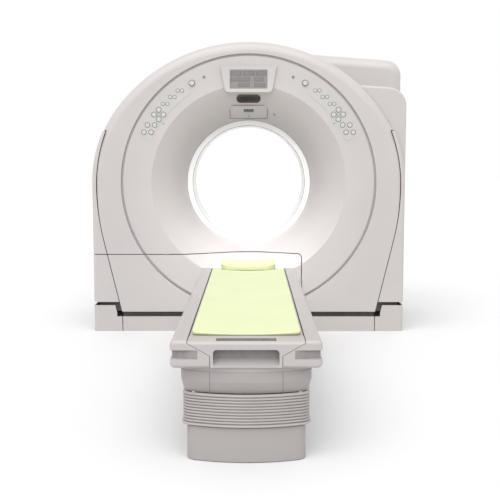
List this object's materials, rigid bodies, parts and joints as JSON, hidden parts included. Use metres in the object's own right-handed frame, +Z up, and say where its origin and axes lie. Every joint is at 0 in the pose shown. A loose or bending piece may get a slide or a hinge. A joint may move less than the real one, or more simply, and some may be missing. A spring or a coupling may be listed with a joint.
{
  "type": "ct scanner",
  "caption": "Ring-shaped medical CT scanner with flared bore, rotating scan assembly and a lifting patient table whose padded cradle slides into the bore.",
  "frame": {"origin": "on the floor under the bore axis, in the scan plane", "axes": "+Y runs along the bore from the table into the gantry, +Z is up, +X is to the right of someone facing the gantry from the table"},
  "size_m": [2.085, 3.436, 1.867],
  "materials": {
    "cover_white": "satin painted moulded cover",
    "plinth_grey": "satin",
    "seal_grey": "matte",
    "window_clear": "smooth",
    "screen": "semi-gloss",
    "keypad": "matte membrane",
    "button": "semi-gloss",
    "frame_steel": "powder coat",
    "bare_steel": "ground",
    "unit_metal": "satin",
    "table_cover": "satin",
    "bellows_cloth": "coated cloth",
    "cradle_shell": "smooth",
    "mat_lime": "vinyl upholstery"
  },
  "bodies": {
    "base": {"front_cover": "cover_white", "front_cover_lower_left": "cover_white", "display_bezel": "cover_white", "front_bezel": "cover_white", "front_bezel_lower": "cover_white", "rear_funnel": "cover_white", "rear_cover": "cover_white", "top_cover": "cover_white", "side_cover_left_upper": "cover_white", "side_cover_left_lower": "cover_white", "tower_rear_housing": "cover_white", "side_cover_right": "cover_white", "laser_panel": "cover_white", "plinth_front": "plinth_grey", "plinth_left": "plinth_grey", "plinth_right": "plinth_grey", "floor_duct": "plinth_grey", "cover_seals": "seal_grey", "scan_window_ring": "window_clear", "display_screen": "screen", "indicator_window": "screen", "keypad_left": "keypad", "keypad_right": "keypad", "gantry_base_plate": "frame_steel", "stator_frame": "frame_steel", "cover_brackets": "frame_steel", "table_base_plate": "frame_steel", "levelling_feet": "bare_steel", "bearing_outer_race": "bare_steel", "lift_outer_tube": "bare_steel", "ring_motor_stator": "unit_metal", "brush_block": "unit_metal", "power_unit": "unit_metal", "control_unit": "unit_metal", "table_base_cover": "table_cover"},
    "rotor": {"rotor_drum": "frame_steel", "bearing_inner_race": "bare_steel", "ring_motor_rotor": "unit_metal", "slip_ring": "unit_metal", "xray_tube": "unit_metal", "collimator": "unit_metal", "detector_arc": "unit_metal", "hv_generator": "unit_metal", "heat_exchanger": "unit_metal", "balance_weight": "unit_metal"},
    "stop_left": {"stop_button_left": "button"},
    "stop_right": {"stop_button_right": "button"},
    "lift_middle": {"lift_middle_tube": "bare_steel"},
    "table_top": {"lift_inner_tube": "bare_steel", "table_chassis": "frame_steel", "table_collar": "table_cover", "cradle_drive": "unit_metal", "rail_right": "table_cover", "rail_left": "table_cover", "bellows": "bellows_cloth"},
    "cradle": {"cradle": "cradle_shell", "handle_block": "cradle_shell", "mat": "mat_lime", "headrest_holder": "cradle_shell", "headrest_cushion": "mat_lime"}
  },
  "joints": [
    {"name": "rotor_spin", "type": "hinge", "parent": "base", "child": "rotor", "pos_m": [0, 0, 0.965], "axis": [0, 1, 0], "continuous": true},
    {"name": "stop_left_press", "type": "slide", "parent": "base", "child": "stop_left", "axis": [0, 1, 0], "range_m": [0, 0.006], "stiffness_N_per_m": 600},
    {"name": "stop_right_press", "type": "slide", "parent": "base", "child": "stop_right", "axis": [0, 1, 0], "range_m": [0, 0.006], "stiffness_N_per_m": 600},
    {"name": "table_lift", "type": "slide", "parent": "base", "child": "table_top", "axis": [0, 0, 1], "range_m": [0, 0.45], "deforming": ["bellows"]},
    {"name": "lift_stage", "type": "slide", "parent": "base", "child": "lift_middle", "axis": [0, 0, 1], "range_m": [0, 0.225]},
    {"name": "cradle_slide", "type": "slide", "parent": "table_top", "child": "cradle", "axis": [0, 1, 0], "range_m": [0, 0.9]}
  ],
  "couplings": [
    {"joint": "lift_stage", "follows": "table_lift", "ratio": 0.5},
    {"joint": "cradle_slide", "follows": "table_lift", "ratio": 2}
  ]
}
